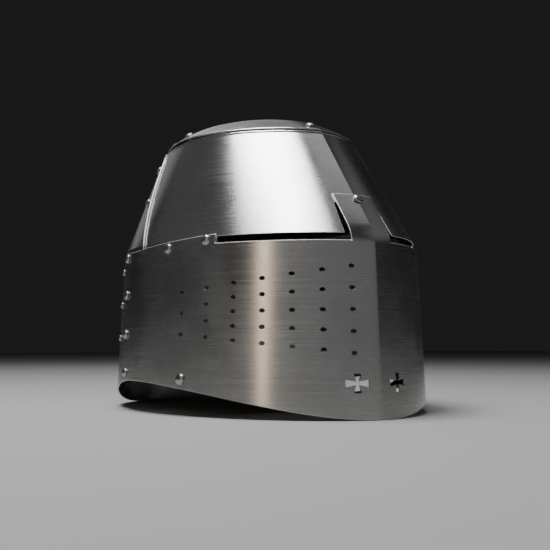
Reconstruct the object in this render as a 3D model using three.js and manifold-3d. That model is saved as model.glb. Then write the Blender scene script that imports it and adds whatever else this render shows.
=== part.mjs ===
// Great helm: five riveted steel plates around a riveted crown, with a padded leather liner and a chin strap.
// Millimetres, +Z up. The face looks along -Y and the wearer's right hand is on -X.
import * as THREE from "three";
import { mergeVertices } from "three/addons/utils/BufferGeometryUtils.js";
import Module from "manifold-3d";

const wasm = await Module();
wasm.setup();

// ---------------------------------------------------------------- driving dimensions
// Plan sections of the shell: half width, reach to the front ridge and to the back, depth of the front keel.
const RIM = { z: 0, half: 135, front: 192, back: 169, keel: 16 };
const BREAK = { z: 152, half: 127.5, front: 183, back: 165, keel: 16 };
const CROWN = { z: 253, half: 88, front: 105, back: 136, keel: 12 };
const DOME_RISE = 25; // crown above the rim of the cone
const DOME_POWER = 2.5;

const SHEET = 1.6; // plate thickness
const GAP = 0.3; // clearance between touching pieces
const LAYER = SHEET + GAP; // one plate lapped over another

const RIM_ARCH = 28; // how far the bottom edge rises at the sides
const REAR_FLAT_FROM = 150; // degrees from the ridge, where the bottom edge is back on the ground
const SIGHT = { to: 54, bottom: 146, top: 152 }; // degrees either side of the ridge, and heights
const NASAL = { half: 19.5, foot: 142, top: 188.5, bend: 10 }; // half width, heights, bend radius along z
const NASAL_SLOT = { low: 24, high: 21, top: 180 }; // opening in the brow plate behind the nasal
const LAP = 10; // how far an upper plate reaches down inside a lower one, past the sight
const SIDE_EDGE = 147; // top edge of the lower plates at the sides and back
const SIGHT_END_EDGE = 154; // top edge of the face plate just behind the sight
const SIDE_EDGE_FROM = 89; // degrees, where the side edge height is reached
const LOWER_SEAM = { bottom: 98, top: 104 }; // degrees, rear edge of the face plate
const UPPER_SEAM = { bottom: 89.5, top: 118 }; // degrees, front edge of the upper back plate
const SEAM_LAP = 8; // degrees of plate hidden behind each side seam

const BREATH = { wide: 5, high: 3.6 };
const BREATH_COLUMNS = [9.3, 19.3, 29, 38.3, 47.6, 56.7, 65.8]; // degrees
const BREATH_ROWS = [5, 5, 5, 5, 5, 4, 3];
const BREATH_PITCH = [17.7, 16.2, 14.8, 13.3, 11.9, 13.9, 18];
const BREATH_MIDDLE = { front: 89.3, rear: 87.3 };
const CROSS = { angle: 8.5, z: 29.7, wide: 20, high: 15.5, waist: 3, flare: 6 };

const RIVET = { head: 4.5, rise: 2.6, shank: 2, tail: 3.2, tailRise: 1 };
const SMALL_RIVET = { head: 3.2, rise: 1.9, shank: 1.5, tail: 2.4, tailRise: 0.8 };
const RIVET_SIDES = 8;
const RIVET_PLAY = 0.6; // between the last plate and the tail
const HOLE_CLEARANCE = 0.3;
const FACE_EDGE_RIVETS = [
  { name: "front", angle: 57.3, z: 149 },
  { name: "rear", angle: 72.4, z: 144.5 },
];
const SIDE_SEAM_RIVETS = [34.7, 70.1, 106.9, 142]; // heights
const SIDE_SEAM_RIVET_INSET = 3.8; // degrees in front of the seam
const BACK_LAP_RIVETS = { angle: 110, heights: [67, 99, 131] };
const BACK_EDGE_RIVETS = { outer: 128, inner: 154, z: 142 };
const CONE_SEAM_RIVETS = { lower: 199.5, upper: 237, inset: 3.4 };
const NASAL_RIVET = { angle: 0.5, z: 184 };
const CROWN_RIVETS = { front: -3, side: 92, seam: 116, rear: 146, inset: 0.09, slope: 1.2 };

const STRAP = { wide: 18, thick: 2.6, sag: 18, under: 5.8, angle: 65.2, z: 31.3, standoff: 9, tip: 62 };
const STRAP_CURVE_POWER = 2.6;
const STRAP_END_RISE = 7; // strap above the rivet
const STRAP_EYE = 4; // radius of the hole that turns on the rivet
const STRAP_PLAY = 5.2; // room on the chin rivet behind the strap, for its swing
const PUNCH = { count: 4, pitch: 12, first: -22, radius: 1.4, z: 8 }; // prong holes in the tip side
const BUCKLE = { x: 24, front: 3, wide: 27, stock: 2.6, eye: 2.1, eyeWall: 1.9, slot: 14, overlap: 3 };
const PRONG = { wide: 2.4, thick: 1.5, ring: 3.4, ringWall: 1.3 };
const KEEPER = { x: 42, long: 7, stock: 1.6, play: { wide: 1.2, high: 3 } };
const LINER = { bottom: 178, top: 206, out: -4, thick: 2.5, tabs: 6, tabThick: 5 };

// ---------------------------------------------------------------- maths of the shell
const degrees = THREE.MathUtils.degToRad;
const lerp = THREE.MathUtils.lerp;
const smooth = THREE.MathUtils.smoothstep;

function mixSection(a, b, k) {
  const mixed = {};
  for (const key of ["half", "front", "back", "keel"]) mixed[key] = lerp(a[key], b[key], k);
  return mixed;
}

const lowerSection = (z) => mixSection(RIM, BREAK, (z - RIM.z) / (BREAK.z - RIM.z));
const upperSection = (z) => mixSection(BREAK, CROWN, (z - BREAK.z) / (CROWN.z - BREAK.z));
const shellSection = (z) => (z < BREAK.z ? lowerSection(z) : upperSection(z));

// The nasal follows the lower plates, bends softly at the break and then follows the cone.
function nasalSection(z) {
  const past = z - BREAK.z;
  const ramp = past > NASAL.bend ? past : Math.max(past + NASAL.bend, 0) ** 2 / (4 * NASAL.bend);
  const section = lowerSection(z);
  for (const key of Object.keys(section))
    section[key] += (upperSection(BREAK.z + 1)[key] - lowerSection(BREAK.z + 1)[key]) * ramp;
  return section;
}

// A point of a plan section, "out" millimetres outside it; angle 0 is the front ridge, +90 the wearer's left.
function planPoint(section, angle, out) {
  const s = Math.sin(degrees(angle));
  const c = Math.cos(degrees(angle));
  const x = (section.half + out) * s;
  const front = -(section.front + out - section.keel) * c - section.keel * (1 - Math.abs(s));
  return [x, c > 0 ? front : -(section.back + out) * c];
}

function shellPoint(angle, z, out, sectionAt = shellSection) {
  const [x, y] = planPoint(sectionAt(z), angle, out);
  return new THREE.Vector3(x, y, z);
}

// A point of the crown's dome; reach 1 is the rim of the cone and 0 its middle.
const DOME_MIDDLE_Y = (CROWN.back - CROWN.front) / 2;
function domePoint(angle, reach, lift, out = 0) {
  const [x, y] = planPoint(CROWN, angle, out);
  const rise = DOME_RISE * (1 - Math.pow(reach, DOME_POWER));
  return new THREE.Vector3(x * reach, DOME_MIDDLE_Y + (y - DOME_MIDDLE_Y) * reach, CROWN.z + rise + lift);
}

// Axes at a point of a surface: x along the plate, y up the plate, z straight out of it.
function frameAt(surface, angle, height) {
  const step = 0.05;
  const along = surface(angle + step, height).sub(surface(angle - step, height)).normalize();
  const up = surface(angle, height + step).sub(surface(angle, height - step)).normalize();
  const normal = along.clone().cross(up).normalize();
  const level = normal.clone().cross(along).normalize();
  return new THREE.Matrix4().makeBasis(along, level, normal).setPosition(surface(angle, height));
}

const clamp01 = (k) => THREE.MathUtils.clamp(k, 0, 1);
const rimHeight = (angle) => {
  const a = Math.abs(angle);
  const turned = a < 90 ? a : 90 + ((a - 90) * 90) / (REAR_FLAT_FROM - 90);
  return a >= REAR_FLAT_FROM ? 0 : RIM_ARCH * Math.sin(degrees(turned)) ** 2;
};
const faceTop = (angle) =>
  lerp(SIGHT_END_EDGE, SIDE_EDGE, clamp01((Math.abs(angle) - SIGHT.to) / (SIDE_EDGE_FROM - SIGHT.to)));
const lowerSeam = (z) => lerp(LOWER_SEAM.bottom, LOWER_SEAM.top, z / SIDE_EDGE);
const upperSeam = (z) =>
  lerp(UPPER_SEAM.bottom, UPPER_SEAM.top, clamp01((z - BREAK.z) / (CROWN.z - BREAK.z)));

// Outward offset of each plate's inner face from the base surface.
const BROW_IN = -SHEET;
const UPPER_BACK_IN = GAP;
const LOWER_BACK_IN = GAP + LAYER;
const faceIn = (angle) => lerp(GAP, GAP + 2 * LAYER, smooth(Math.abs(angle), 35, 89));

// ---------------------------------------------------------------- meshes and solids
// A closed shell over a grid: pointAt(u, v, side) with side 0 the inner face and 1 the outer one.
function gridShell(columns, rows, pointAt, { ring = false, pole = false } = {}) {
  const positions = [];
  const index = [];
  const across = ring ? columns : columns + 1;
  const at = (side, i, j) => {
    if (pole && j === rows) return side * (across * rows + 1) + across * rows;
    return side * (across * (pole ? rows : rows + 1) + (pole ? 1 : 0)) + j * across + (i % across);
  };
  for (const side of [0, 1]) {
    for (let j = 0; j < (pole ? rows : rows + 1); j++)
      for (let i = 0; i < across; i++) positions.push(...pointAt(i / columns, j / rows, side));
    if (pole) positions.push(...pointAt(0, 1, side));
  }
  const triangle = (a, b, c) => {
    if (a !== b && b !== c && c !== a) index.push(a, b, c);
  };
  const quad = (a, b, c, d) => {
    triangle(a, b, c);
    triangle(a, c, d);
  };
  for (let j = 0; j < rows; j++)
    for (let i = 0; i < columns; i++) {
      quad(at(1, i, j), at(1, i + 1, j), at(1, i + 1, j + 1), at(1, i, j + 1));
      quad(at(0, i, j), at(0, i, j + 1), at(0, i + 1, j + 1), at(0, i + 1, j));
    }
  for (let i = 0; i < columns; i++) {
    quad(at(0, i, 0), at(0, i + 1, 0), at(1, i + 1, 0), at(1, i, 0));
    if (!pole) quad(at(1, i, rows), at(1, i + 1, rows), at(0, i + 1, rows), at(0, i, rows));
  }
  if (!ring)
    for (let j = 0; j < rows; j++) {
      quad(at(0, 0, j), at(1, 0, j), at(1, 0, j + 1), at(0, 0, j + 1));
      quad(at(1, columns, j), at(0, columns, j), at(0, columns, j + 1), at(1, columns, j + 1));
    }
  const geometry = new THREE.BufferGeometry();
  geometry.setAttribute("position", new THREE.Float32BufferAttribute(positions, 3));
  geometry.setIndex(index);
  return geometry;
}

function toSolid(geometry) {
  const bare = geometry.clone();
  for (const name of Object.keys(bare.attributes)) if (name !== "position") bare.deleteAttribute(name);
  const merged = mergeVertices(bare, 1e-4);
  return new wasm.Manifold(
    new wasm.Mesh({
      numProp: 3,
      vertProperties: new Float32Array(merged.attributes.position.array),
      triVerts: new Uint32Array(merged.index.array),
    }),
  );
}

function toGeometry(solid) {
  const mesh = solid.getMesh();
  const geometry = new THREE.BufferGeometry();
  geometry.setAttribute("position", new THREE.BufferAttribute(mesh.vertProperties, 3));
  geometry.setIndex(new THREE.BufferAttribute(mesh.triVerts, 1));
  const flat = geometry.toNonIndexed();
  flat.computeVertexNormals();
  return flat;
}

function cutAway(geometry, cutters) {
  let solid = toSolid(geometry);
  for (const cutter of cutters) solid = solid.subtract(toSolid(cutter));
  return toGeometry(solid);
}

// ---------------------------------------------------------------- materials
const steel = () => new THREE.MeshStandardMaterial({ color: 0x8d8d8b, metalness: 1, roughness: 0.35 });
const rivetSteel = () => new THREE.MeshStandardMaterial({ color: 0x9a9a98, metalness: 1, roughness: 0.3 });
const leather = () => new THREE.MeshStandardMaterial({ color: 0x4a2f1d, roughness: 0.75 });
const canvas = () => new THREE.MeshStandardMaterial({ color: 0xb9a88a, roughness: 0.95 });
const brass = () => new THREE.MeshStandardMaterial({ color: 0xa8843c, metalness: 1, roughness: 0.4 });

const helm = new THREE.Group();
function addPiece(name, geometry, material) {
  const mesh = new THREE.Mesh(geometry, material);
  mesh.name = name;
  helm.add(mesh);
}

// ---------------------------------------------------------------- rivets
// Each rivet knows where it sits, the surface it follows and the stack of plates that it goes through.
const upperBackFace = (angle, z) => shellPoint(angle, z, UPPER_BACK_IN + SHEET);
const lowerBackFace = (angle, z) => shellPoint(angle, z, LOWER_BACK_IN + SHEET, lowerSection);
const plateFace = (angle, z) => shellPoint(angle, z, faceIn(angle) + SHEET, lowerSection);
const nasalFace = (angle, z) => shellPoint(angle, z, GAP + SHEET);
const crownLift = (angle, reach) => lerp(2, lerp(0.7, 0.7 + LAYER, smooth(Math.abs(angle), 60, 105)), reach);
const crownFace = (angle, inset) => domePoint(angle, 1 - inset, crownLift(angle, 1 - inset) + SHEET);

const LINER_DEPTH = LINER.thick - LINER.out;
const rivets = [];
function addRivet(name, surface, angle, height, stack, shape = RIVET) {
  rivets.push({ name, matrix: frameAt(surface, angle, height), stack, shape });
}
function addRivetPair(name, surface, angle, height, stack, shape = RIVET) {
  addRivet(name + "_right", surface, -angle, height, stack, shape);
  addRivet(name + "_left", surface, angle, height, stack, shape);
}

SIDE_SEAM_RIVETS.forEach((z, i) => {
  const layers = i === SIDE_SEAM_RIVETS.length - 1 ? 4 : 2;
  const angle = lowerSeam(z) - SIDE_SEAM_RIVET_INSET;
  addRivetPair("side_seam_rivet_" + (i + 1), plateFace, angle, z, layers * LAYER - GAP);
});
for (const { name, angle, z } of FACE_EDGE_RIVETS)
  addRivetPair("face_edge_rivet_" + name, plateFace, angle, z, faceIn(angle) + SHEET + SHEET);
BACK_LAP_RIVETS.heights.forEach((z, i) =>
  addRivetPair("back_lap_rivet_" + (i + 1), lowerBackFace, BACK_LAP_RIVETS.angle, z, SHEET, SMALL_RIVET),
);
for (const place of ["outer", "inner"]) {
  const angle = BACK_EDGE_RIVETS[place];
  addRivetPair("back_edge_rivet_" + place, lowerBackFace, angle, BACK_EDGE_RIVETS.z, 2 * LAYER - GAP);
}
addRivet("back_edge_rivet_middle", lowerBackFace, 180, BACK_EDGE_RIVETS.z, 2 * LAYER - GAP);
for (const [place, stack] of [["lower", LAYER + LINER_DEPTH], ["upper", 2 * LAYER - GAP]]) {
  const z = CONE_SEAM_RIVETS[place];
  addRivetPair("cone_seam_rivet_" + place, upperBackFace, upperSeam(z) + CONE_SEAM_RIVETS.inset, z, stack);
}
addRivet("nasal_rivet", nasalFace, NASAL_RIVET.angle, NASAL_RIVET.z, LAYER + LINER_DEPTH);

// The crown's rivets go through the flange of the plate below, and at the seam through two.
const FRONT_STACK = LAYER + SHEET + CROWN_RIVETS.slope;
const BACK_STACK = 2 * LAYER + CROWN_RIVETS.slope;
addRivet("crown_rivet_front", crownFace, CROWN_RIVETS.front, CROWN_RIVETS.inset, FRONT_STACK);
addRivetPair("crown_rivet_side", crownFace, CROWN_RIVETS.side, CROWN_RIVETS.inset, BACK_STACK);
addRivetPair("crown_rivet_seam", crownFace, CROWN_RIVETS.seam, CROWN_RIVETS.inset, BACK_STACK + LAYER);
addRivetPair("crown_rivet_rear", crownFace, CROWN_RIVETS.rear, CROWN_RIVETS.inset, BACK_STACK);
addRivet("crown_rivet_back", crownFace, 180, CROWN_RIVETS.inset, BACK_STACK);

const CHIN_RIVET = { ...RIVET, head: 4.8, tail: 4.4 };
const CHIN_RIVET_GRIP = SHEET + STRAP.standoff + STRAP.thick / 2 + STRAP_PLAY;
addRivetPair("chin_strap_rivet", plateFace, STRAP.angle, STRAP.z, CHIN_RIVET_GRIP, CHIN_RIVET);

function rivetGeometry({ matrix, stack, shape }) {
  const base = GAP;
  const tail = -stack - RIVET_PLAY;
  const profile = [
    [0, tail - shape.tailRise],
    [shape.tail, tail],
    [shape.shank, tail],
    [shape.shank, base],
    [shape.head, base],
    [shape.head * 0.74, base + shape.rise * 0.68],
    [0, base + shape.rise],
  ].map(([r, h]) => new THREE.Vector2(r, h));
  return new THREE.LatheGeometry(profile, RIVET_SIDES).rotateX(Math.PI / 2).applyMatrix4(matrix);
}

function rivetHoles() {
  return rivets.map(({ matrix, stack, shape }) => {
    const radius = shape.shank + HOLE_CLEARANCE;
    const past = 3; // the cutter stands proud of the stack at both ends
    return new THREE.CylinderGeometry(radius, radius, stack + 2 * past, RIVET_SIDES)
      .rotateX(Math.PI / 2)
      .translate(0, 0, -stack / 2)
      .applyMatrix4(matrix);
  });
}

// ---------------------------------------------------------------- plates
const faceAngle = (u, z) => (2 * u - 1) * lowerSeam(z);

function facePlate() {
  const rows = 3;
  const skin = gridShell(42, rows, (u, v, side) => {
    const guess = faceAngle(u, SIDE_EDGE * v);
    const z = lerp(rimHeight(guess), faceTop(guess), v);
    const angle = faceAngle(u, z);
    return shellPoint(angle, z, faceIn(angle) + side * SHEET, lowerSection);
  });
  const sightCut = gridShell(28, 1, (u, v, side) =>
    shellPoint((2 * u - 1) * SIGHT.to, lerp(SIGHT.bottom, 170, v), lerp(-8, 14, side), lowerSection),
  );
  const nasal = gridShell(6, 9, (u, v, side) => {
    const z = lerp(NASAL.foot, NASAL.top, v);
    const angle = THREE.MathUtils.radToDeg(Math.asin(((2 * u - 1) * NASAL.half) / nasalSection(z).half));
    return shellPoint(angle, z, GAP + side * SHEET, nasalSection);
  });
  let solid = toSolid(skin).subtract(toSolid(sightCut)).add(toSolid(nasal));
  for (const cutter of [...breaths(), ...crosses(), ...rivetHoles()]) solid = solid.subtract(toSolid(cutter));
  return toGeometry(solid);
}

function breaths() {
  const cutters = [];
  BREATH_COLUMNS.forEach((column, i) => {
    const middle = lerp(BREATH_MIDDLE.front, BREATH_MIDDLE.rear, i / (BREATH_COLUMNS.length - 1));
    for (let j = 0; j < BREATH_ROWS[i]; j++) {
      const z = middle + (j - (BREATH_ROWS[i] - 1) / 2) * BREATH_PITCH[i];
      cutters.push(
        new THREE.CylinderGeometry(1, 1, 8, 8)
          .rotateX(Math.PI / 2)
          .scale(BREATH.wide / 2, BREATH.high / 2, 1)
          .applyMatrix4(frameAt(plateFace, -column, z)),
      );
    }
  });
  return cutters;
}

// A cross with flared arms; each arm widens from the waist to the flare.
function crosses() {
  const outline = [];
  const waist = CROSS.waist / 2;
  const flare = CROSS.flare / 2;
  for (let i = 0; i < 4; i++) {
    const reach = (i % 2 ? CROSS.high : CROSS.wide) / 2;
    const turn = (i * Math.PI) / 2;
    for (const [r, half] of [[waist, -waist], [reach, -flare], [reach, flare]])
      outline.push(new THREE.Vector2(r, half).rotateAround(new THREE.Vector2(), turn));
  }
  const shape = new THREE.Shape(outline);
  return [-CROSS.angle, CROSS.angle].map((angle) =>
    new THREE.ExtrudeGeometry(shape, { depth: 8, bevelEnabled: false })
      .translate(0, 0, -5)
      .applyMatrix4(frameAt(plateFace, angle, CROSS.z)),
  );
}

function lowerBackPlate() {
  const skin = gridShell(36, 2, (u, v, side) => {
    const z0 = SIDE_EDGE * v;
    const from = lowerSeam(z0) - SEAM_LAP;
    const angle = lerp(from, 360 - from, u);
    const folded = angle > 180 ? 360 - angle : angle;
    const z = lerp(rimHeight(folded), SIDE_EDGE, v);
    return shellPoint(angle, z, LOWER_BACK_IN + side * SHEET, lowerSection);
  });
  return cutAway(skin, rivetHoles());
}

// Rows of an upper plate by height: the tab below the break and the cone, then the turned-in flange by reach.
const CONE_ROWS = [BREAK.z - LAP - 5, BREAK.z, CROWN.z];
const FLANGE_REACH = [0.95, 0.86];

function conePoint(row, angle, out, side) {
  if (row < CONE_ROWS.length) {
    const top = row === CONE_ROWS.length - 1;
    const z = CONE_ROWS[row] + (top ? (out > 0 ? LAYER : 0) + (side - 1) * SHEET : 0);
    return shellPoint(angle, z, out + side * SHEET);
  }
  const lift = (out > 0 ? LAYER : 0) + (side - 1) * SHEET;
  return domePoint(angle, FLANGE_REACH[row - CONE_ROWS.length], lift);
}
const CONE_ROW_COUNT = CONE_ROWS.length + FLANGE_REACH.length - 1;

function browPlate() {
  const reach = UPPER_SEAM.top + SEAM_LAP;
  const skin = gridShell(44, CONE_ROW_COUNT, (u, v, side) =>
    conePoint(Math.round(v * CONE_ROW_COUNT), (2 * u - 1) * reach, BROW_IN, side),
  );
  const sightCut = gridShell(28, 1, (u, v, side) =>
    shellPoint((2 * u - 1) * SIGHT.to, lerp(120, SIGHT.top, v), lerp(-10, 10, side)),
  );
  const slot = new THREE.ExtrudeGeometry(
    new THREE.Shape([
      new THREE.Vector2(-NASAL_SLOT.low, SIGHT.top - 2),
      new THREE.Vector2(NASAL_SLOT.low, SIGHT.top - 2),
      new THREE.Vector2(NASAL_SLOT.high, NASAL_SLOT.top),
      new THREE.Vector2(-NASAL_SLOT.high, NASAL_SLOT.top),
    ]),
    { depth: 120, bevelEnabled: false },
  )
    .rotateX(Math.PI / 2)
    .translate(0, -90, 0);
  return cutAway(skin, [sightCut, slot, ...rivetHoles()]);
}

// What is trimmed off the upper back plate in front of one side seam.
function seamTrim(hand) {
  const from = UPPER_SEAM.bottom - 12;
  return gridShell(3, 5, (u, v, side) => {
    const z = lerp(BREAK.z - LAP - 10, CROWN.z + 20, v);
    const angle = lerp(from, upperSeam(z), hand > 0 ? u : 1 - u);
    return shellPoint(hand * angle, z, lerp(-30, 12, side));
  });
}

function upperBackPlate() {
  const from = UPPER_SEAM.bottom;
  const skin = gridShell(36, CONE_ROW_COUNT, (u, v, side) =>
    conePoint(Math.round(v * CONE_ROW_COUNT), lerp(from - 1, 361 - from, u), UPPER_BACK_IN, side),
  );
  return cutAway(skin, [seamTrim(-1), seamTrim(1), ...rivetHoles()]);
}

const CROWN_EDGE = 0.99;
function crownPlate() {
  const skin = gridShell(
    44,
    5,
    (u, v, side) => {
      const angle = u * 360;
      const folded = angle > 180 ? 360 - angle : angle;
      const reach = CROWN_EDGE * (1 - v * v * 0.4 - v * 0.6);
      return domePoint(angle, reach, crownLift(folded, reach) + side * SHEET);
    },
    { ring: true, pole: true },
  );
  return cutAway(skin, rivetHoles());
}

// ---------------------------------------------------------------- liner
function linerBand() {
  const skin = gridShell(
    36,
    1,
    (u, v, side) =>
      shellPoint(u * 360, lerp(LINER.bottom, LINER.top, v), LINER.out - LINER.thick * (1 - side)),
    { ring: true },
  );
  return cutAway(skin, rivetHoles());
}

// A padded leaf runs up from the band, inside the cone, and turns in towards the middle of the crown.
const LEAF = { behind: 3.4, foot: 187, shoulder: 228, rise: 12, tipReach: 0.2, gap: 8 };
function linerLeaf(middle) {
  const half = 180 / LINER.tabs - LEAF.gap / 2;
  const inset = LINER.out - LINER.thick - LEAF.behind - LINER.tabThick;
  return gridShell(5, 6, (u, v, side) => {
    const angle = middle + (2 * u - 1) * half;
    const climb = Math.min(v * 2, 1);
    const turn = Math.max(v * 2 - 1, 0);
    const lifted = turn * LINER.tabThick * side;
    const z = lerp(LEAF.foot, LEAF.shoulder, climb) + LEAF.rise * Math.sin((turn * Math.PI) / 2) + lifted;
    const out = inset - 3 * climb + LINER.tabThick * side * (1 - turn);
    const point = shellPoint(angle, lerp(LEAF.foot, LEAF.shoulder, climb), out);
    const reach = lerp(1, LEAF.tipReach, turn);
    return new THREE.Vector3(point.x * reach, DOME_MIDDLE_Y + (point.y - DOME_MIDDLE_Y) * reach, z);
  });
}

function linerLace() {
  const z = LEAF.shoulder + LEAF.rise + LINER.tabThick + 2.2;
  return new THREE.TorusGeometry(24, 1.6, 8, 24).translate(0, DOME_MIDDLE_Y, z);
}

// ---------------------------------------------------------------- chin strap
const strapPivot = new THREE.Vector3(0, 0, -SHEET - STRAP.standoff).applyMatrix4(
  frameAt(plateFace, STRAP.angle, STRAP.z),
);

// Height of the strap's middle line across the helm; it hangs from the two rivets like a shallow hammock.
function strapHeight(x, under) {
  const k = Math.min(Math.abs(x) / strapPivot.x, 1);
  const fade = smooth(x, -0.9 * strapPivot.x, -0.3 * strapPivot.x);
  return strapPivot.z - STRAP.sag * (1 - k ** STRAP_CURVE_POWER) ** (1 / STRAP_CURVE_POWER) - under * fade;
}

// A strap's side outline: its middle line, thickened, from the rivet on one side to x = end.
function strapOutline(hand, end, under) {
  const steps = 14;
  const start = hand * strapPivot.x;
  const line = [new THREE.Vector2(start, strapPivot.z + STRAP_END_RISE)];
  for (let i = 0; i <= steps; i++) {
    const x = start * Math.cos((i / steps) * Math.acos(end / start));
    line.push(new THREE.Vector2(x, strapHeight(x, under)));
  }
  const sides = [[], []];
  line.forEach((point, i) => {
    const ahead = line[Math.min(i + 1, line.length - 1)];
    const behind = line[Math.max(i - 1, 0)];
    const across = ahead.clone().sub(behind).normalize().rotateAround(new THREE.Vector2(), Math.PI / 2);
    sides[0].push(point.clone().addScaledVector(across, STRAP.thick / 2));
    sides[1].push(point.clone().addScaledVector(across, -STRAP.thick / 2));
  });
  return new THREE.Shape([...sides[0], ...sides[1].reverse()]);
}

const extrudeAcross = (shape, wide) =>
  new THREE.ExtrudeGeometry(shape, { depth: wide, bevelEnabled: false, curveSegments: 6 })
    .rotateX(Math.PI / 2)
    .translate(0, strapPivot.y + wide / 2, 0);

const strapHole = () =>
  new THREE.CylinderGeometry(STRAP_EYE, STRAP_EYE, 20, 10)
    .rotateZ(Math.PI / 2)
    .translate(0, strapPivot.y, strapPivot.z);

const buckleZ = strapHeight(BUCKLE.x, 0);

// A round bar across the strap at the buckle's axis.
const pinAtBuckle = (radius, wide) =>
  toSolid(new THREE.CylinderGeometry(radius, radius, wide, 14).translate(BUCKLE.x, strapPivot.y, buckleZ));

function buckleStrap() {
  const strap = toSolid(extrudeAcross(strapOutline(1, BUCKLE.x + BUCKLE.overlap, 0), STRAP.wide));
  const eye = pinAtBuckle(BUCKLE.eye + BUCKLE.eyeWall, STRAP.wide);
  const bore = pinAtBuckle(BUCKLE.eye, STRAP.wide + 2);
  const slotHigh = 16;
  const prongSlot = new THREE.BoxGeometry(BUCKLE.slot, 2 * PRONG.wide + 0.2, slotHigh);
  const slot = toSolid(prongSlot.translate(BUCKLE.x - BUCKLE.overlap / 2, strapPivot.y, buckleZ));
  const hole = toSolid(strapHole().translate(strapPivot.x, 0, 0));
  return toGeometry(strap.add(eye).subtract(bore).subtract(slot).subtract(hole));
}

function tipStrap() {
  const shape = strapOutline(-1, STRAP.tip, STRAP.under);
  let strap = toSolid(extrudeAcross(shape, STRAP.wide - 1));
  strap = strap.subtract(toSolid(strapHole().translate(-strapPivot.x, 0, 0)));
  for (let i = 0; i < PUNCH.count; i++) {
    const punch = new THREE.CylinderGeometry(PUNCH.radius, PUNCH.radius, 20, 8).rotateX(Math.PI / 2);
    strap = strap.subtract(toSolid(punch.translate(PUNCH.first + i * PUNCH.pitch, strapPivot.y, PUNCH.z)));
  }
  return toGeometry(strap);
}

const rectangle = (left, right, half) => [
  new THREE.Vector2(left, -half),
  new THREE.Vector2(right, -half),
  new THREE.Vector2(right, half),
  new THREE.Vector2(left, half),
];

function buckleFrame() {
  const half = BUCKLE.wide / 2;
  const bar = BUCKLE.stock;
  const outer = new THREE.Shape(rectangle(BUCKLE.front, BUCKLE.x + bar / 2, half));
  const inner = rectangle(BUCKLE.front + bar, BUCKLE.x - bar / 2, half - bar);
  outer.holes.push(new THREE.Path(inner.reverse()));
  return new THREE.ExtrudeGeometry(outer, { depth: bar, bevelEnabled: false })
    .translate(0, strapPivot.y, buckleZ - bar / 2);
}

function buckleProng() {
  const long = BUCKLE.x - BUCKLE.front + 1;
  const blade = toSolid(
    new THREE.BoxGeometry(long, PRONG.wide, PRONG.thick).translate(
      BUCKLE.x - long / 2,
      strapPivot.y,
      buckleZ + BUCKLE.stock / 2 + GAP + PRONG.thick / 2,
    ),
  );
  const ring = pinAtBuckle(BUCKLE.eye + PRONG.ringWall, PRONG.ring);
  return toGeometry(ring.add(blade).subtract(pinAtBuckle(BUCKLE.eye - 0.05, 2 * PRONG.ring)));
}

// A loop of leather around both straps, which holds the strap's tip.
function strapKeeper() {
  const middle = (strapHeight(KEEPER.x, 0) + strapHeight(KEEPER.x, STRAP.under)) / 2;
  const wide = STRAP.wide + KEEPER.play.wide;
  const high = STRAP.under + STRAP.thick + KEEPER.play.high;
  const loop = new THREE.BoxGeometry(KEEPER.long, wide + 2 * KEEPER.stock, high + 2 * KEEPER.stock);
  const space = new THREE.BoxGeometry(KEEPER.long + 2, wide, high);
  return toGeometry(toSolid(loop).subtract(toSolid(space))).translate(KEEPER.x, strapPivot.y, middle);
}

addPiece("crown_plate", crownPlate(), steel());
addPiece("brow_plate", browPlate(), steel());
addPiece("upper_back_plate", upperBackPlate(), steel());
addPiece("face_plate", facePlate(), steel());
addPiece("lower_back_plate", lowerBackPlate(), steel());
for (const rivet of rivets) addPiece(rivet.name, rivetGeometry(rivet), rivetSteel());
addPiece("liner_band", linerBand(), leather());
for (let i = 0; i < LINER.tabs; i++)
  addPiece("liner_pad_" + (i + 1), linerLeaf(((i + 0.5) * 360) / LINER.tabs), canvas());
addPiece("liner_lace", linerLace(), leather());
addPiece("chin_strap_buckle_side", buckleStrap(), leather());
addPiece("chin_strap_tip_side", tipStrap(), leather());
addPiece("strap_keeper", strapKeeper(), leather());
addPiece("buckle_frame", buckleFrame(), brass());
addPiece("buckle_prong", buckleProng(), brass());

// The origin is under the middle of the helm, on the surface that it stands on.
const reachFront = RIM.front + GAP + SHEET;
const reachBack = RIM.back + LOWER_BACK_IN + SHEET;
helm.position.y = (reachFront - reachBack) / 2;

export default helm;
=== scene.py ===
"""Great helm: how its riveted plates, padded liner and chin strap look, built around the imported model."""

import math

import bmesh
import bpy
import numpy as np
from mathutils import Matrix, Vector
from mathutils.geometry import delaunay_2d_cdt


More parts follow.
